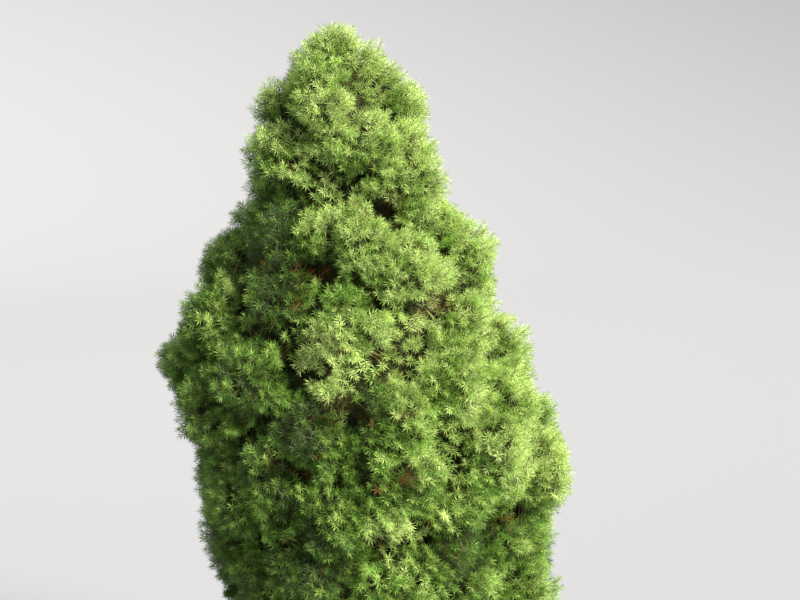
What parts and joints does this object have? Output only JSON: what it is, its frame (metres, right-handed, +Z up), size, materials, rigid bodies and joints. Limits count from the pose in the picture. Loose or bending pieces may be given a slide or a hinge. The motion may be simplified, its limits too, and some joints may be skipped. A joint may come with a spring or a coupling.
{
  "type": "potted dwarf spruce",
  "caption": "Dwarf spruce in a plain round clay pot: a dense, lumpy cone of short fine needles on a leaning trunk, standing free on the pot's flat underside.",
  "frame": {"origin": "centre of the pot's flat underside", "axes": "+Z up; the picture's side of the crown faces -Y, and +X is to the right of the picture"},
  "size_m": [0.5901, 0.5353, 1.2053],
  "materials": {
    "clay": "unglazed fired clay, matt, with faint lime bloom",
    "potting_mix": "dark crumbly bark-based mix, matt",
    "bark": "thin scaly grey-brown bark, matt",
    "needles": "fine soft needles, yellow-green at the tips, blue-green in the shade, slightly waxy"
  },
  "bodies": {
    "root": {"pot": "clay", "potting_mix": "potting_mix", "trunk": "bark", "bough_skirt_1": "bark", "bough_skirt_2": "bark", "bough_skirt_3": "bark", "bough_skirt_4": "bark", "bough_skirt_5": "bark", "bough_low_1": "bark", "bough_low_2": "bark", "bough_low_3": "bark", "bough_low_4": "bark", "bough_low_5": "bark", "bough_low_6": "bark", "bough_belly_1": "bark", "bough_belly_2": "bark", "bough_belly_3": "bark", "bough_belly_4": "bark", "bough_belly_5": "bark", "bough_belly_6": "bark", "bough_waist_1": "bark", "bough_waist_2": "bark", "bough_waist_3": "bark", "bough_waist_4": "bark", "bough_waist_5": "bark", "foliage_skirt_1": "needles", "foliage_skirt_2": "needles", "foliage_skirt_3": "needles", "foliage_skirt_4": "needles", "foliage_skirt_5": "needles", "foliage_low_1": "needles", "foliage_low_2": "needles", "foliage_low_3": "needles", "foliage_low_4": "needles", "foliage_low_5": "needles", "foliage_low_6": "needles", "foliage_belly_1": "needles", "foliage_belly_2": "needles", "foliage_belly_3": "needles", "foliage_belly_4": "needles", "foliage_belly_5": "needles", "foliage_belly_6": "needles", "foliage_waist_1": "needles", "foliage_waist_2": "needles", "foliage_waist_3": "needles", "foliage_waist_4": "needles", "foliage_waist_5": "needles", "foliage_shoulder_1": "needles", "foliage_shoulder_2": "needles", "foliage_shoulder_3": "needles", "foliage_shoulder_4": "needles", "foliage_neck_1": "needles", "foliage_neck_2": "needles", "foliage_neck_3": "needles", "foliage_cap_1": "needles", "foliage_cap_2": "needles", "foliage_cap_3": "needles", "foliage_top": "needles"}
  },
  "joints": []
}
